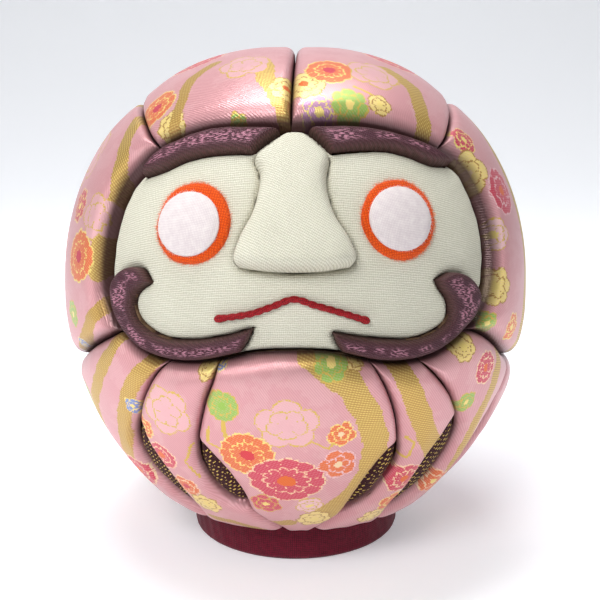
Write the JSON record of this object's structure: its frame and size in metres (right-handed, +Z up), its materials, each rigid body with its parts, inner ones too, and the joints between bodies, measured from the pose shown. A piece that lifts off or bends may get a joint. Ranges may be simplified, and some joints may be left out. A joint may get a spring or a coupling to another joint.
{
  "type": "cloth-covered daruma doll",
  "caption": "Round daruma doll covered in tucked brocade panels, with a hood, a raised crepe face, brows, moustache, felt-ringed eyes, a cord mouth and a flat round foot.",
  "frame": {"origin": "middle of the underside of the round foot", "axes": "+Z up from the foot to the crown, the face looks along -Y, +X is to the right as the face is seen"},
  "size_m": [0.0922, 0.0906, 0.0998],
  "materials": {
    "robe_brocade": "pink satin brocade, stretched over wadding",
    "hood_brocade": "pink satin brocade, stretched over wadding",
    "insert_brocade": "dark brown cloth with short gold threads",
    "face_crepe": "ribbed cream crepe",
    "trim_crepe": "dark plum crepe with a sparse pale thread",
    "eye_felt": "orange felt with a fuzzy edge",
    "eye_crepe": "off-white crepe",
    "mouth_cord": "twisted red cord",
    "core": "pressed wood paste, carved with grooves",
    "foot_crepe": "crimson crepe",
    "foot_block": "pressed wood paste",
    "sole": "thin felt pad"
  },
  "bodies": {
    "root": {"robe_left_3": "robe_brocade", "robe_left_2": "robe_brocade", "robe_left_1": "robe_brocade", "robe_front": "robe_brocade", "robe_right_1": "robe_brocade", "robe_right_2": "robe_brocade", "robe_right_3": "robe_brocade", "robe_back": "robe_brocade", "hood_top_left": "hood_brocade", "hood_top_right": "hood_brocade", "hood_side_left": "hood_brocade", "hood_side_right": "hood_brocade", "insert_back_left": "insert_brocade", "insert_left_2": "insert_brocade", "insert_left_1": "insert_brocade", "insert_front_left": "insert_brocade", "insert_front_right": "insert_brocade", "insert_right_1": "insert_brocade", "insert_right_2": "insert_brocade", "insert_back_right": "insert_brocade", "face_cover": "face_crepe", "nose_cover": "face_crepe", "brow_left": "trim_crepe", "brow_right": "trim_crepe", "moustache_left": "trim_crepe", "moustache_right": "trim_crepe", "eye_backing_left": "eye_felt", "eye_backing_right": "eye_felt", "eye_disc_left": "eye_crepe", "eye_disc_right": "eye_crepe", "mouth_cord": "mouth_cord", "body_core": "core", "foot_band": "foot_crepe", "foot_block": "foot_block", "foot_sole": "sole"}
  },
  "joints": []
}
